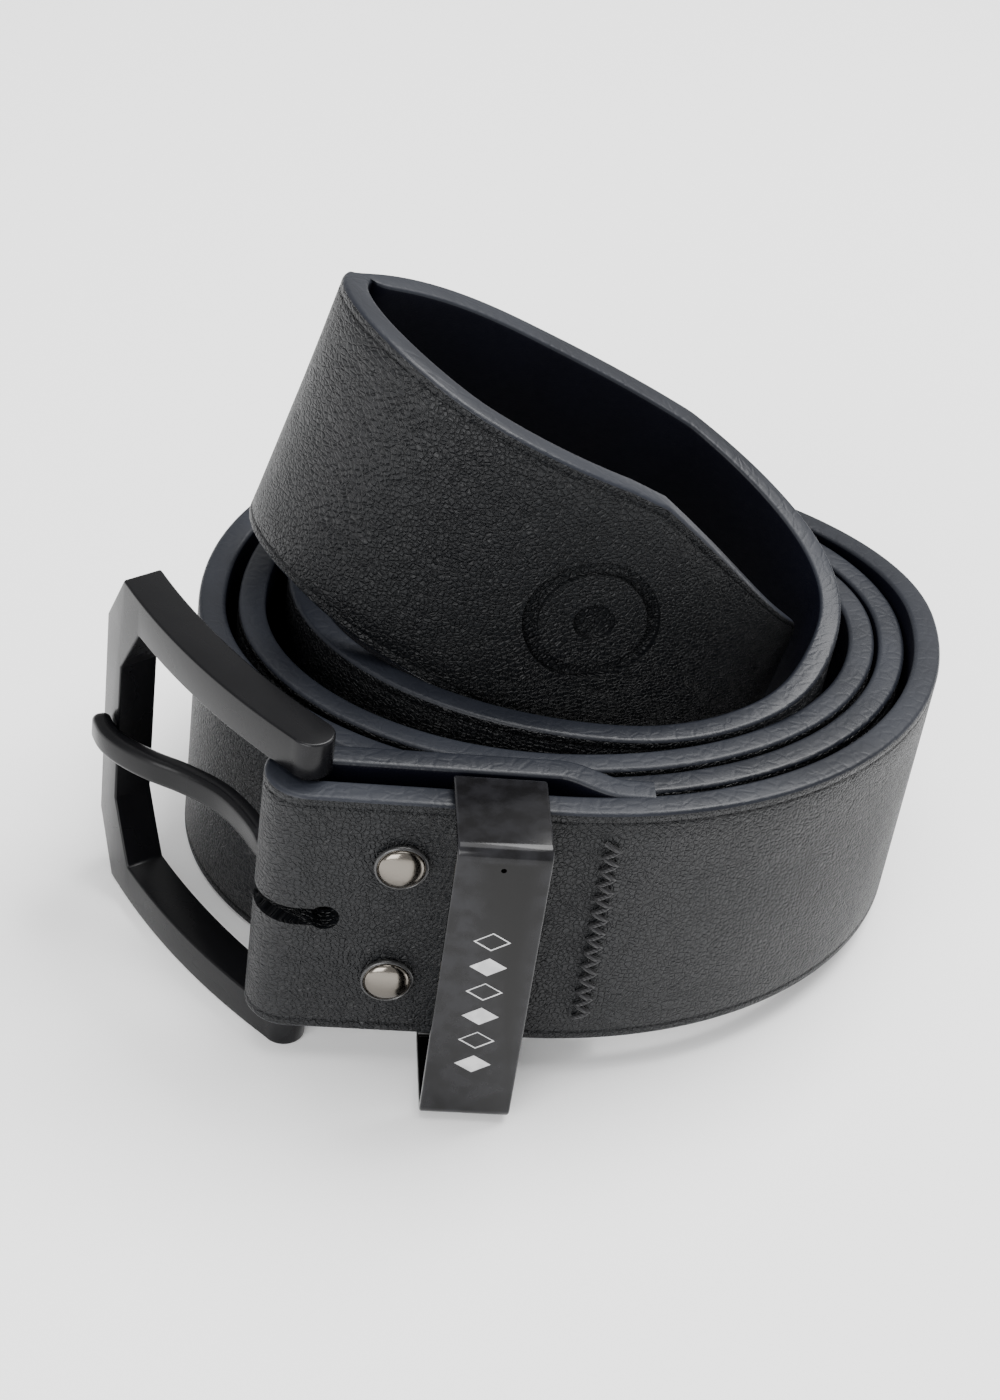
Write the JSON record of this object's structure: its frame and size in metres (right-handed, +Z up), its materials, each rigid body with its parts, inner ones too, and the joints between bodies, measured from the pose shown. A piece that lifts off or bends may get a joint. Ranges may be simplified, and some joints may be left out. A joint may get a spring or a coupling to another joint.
{
  "type": "coiled leather belt",
  "caption": "Black leather trouser belt wound into an upright coil, with a swinging pin buckle and a sliding metal keeper.",
  "frame": {"origin": "on the ground under the middle of the whole belt's box", "axes": "+Z up along the coil's axis, +X to the right along the straight front stretch, +Y away from the front, so the buckle is at the front left"},
  "size_m": [0.116, 0.1056, 0.0824],
  "materials": {
    "leather": "fine grained black leather with painted edges",
    "gunmetal": "black plated metal, polished to a soft gloss",
    "black_nickel": "dark nickel plate, polished",
    "thread": "waxed black thread"
  },
  "bodies": {
    "strap_body": {"strap": "leather", "rivet_cap_upper": "black_nickel", "rivet_back_upper": "black_nickel", "rivet_cap_lower": "black_nickel", "rivet_back_lower": "black_nickel", "bartack_needle_thread": "thread", "bartack_bobbin_thread": "thread"},
    "buckle": {"buckle_frame": "gunmetal", "heel_bar": "gunmetal"},
    "prong": {"prong": "gunmetal"},
    "keeper": {"keeper": "gunmetal"}
  },
  "joints": [
    {"name": "buckle_hinge", "type": "hinge", "parent": "strap_body", "child": "buckle", "pos_m": [-0.03007, -0.03785, 0.0248], "axis": [0, 0, 1], "range_deg": [-8, 90]},
    {"name": "prong_hinge", "type": "hinge", "parent": "buckle", "child": "prong", "pos_m": [-0.03007, -0.03785, 0.0248], "axis": [0, 0, 1], "range_deg": [0, 70]},
    {"name": "keeper_slide", "type": "slide", "parent": "strap_body", "child": "keeper", "axis": [1, 0, 0], "range_m": [-0.0015, 0.003]}
  ]
}
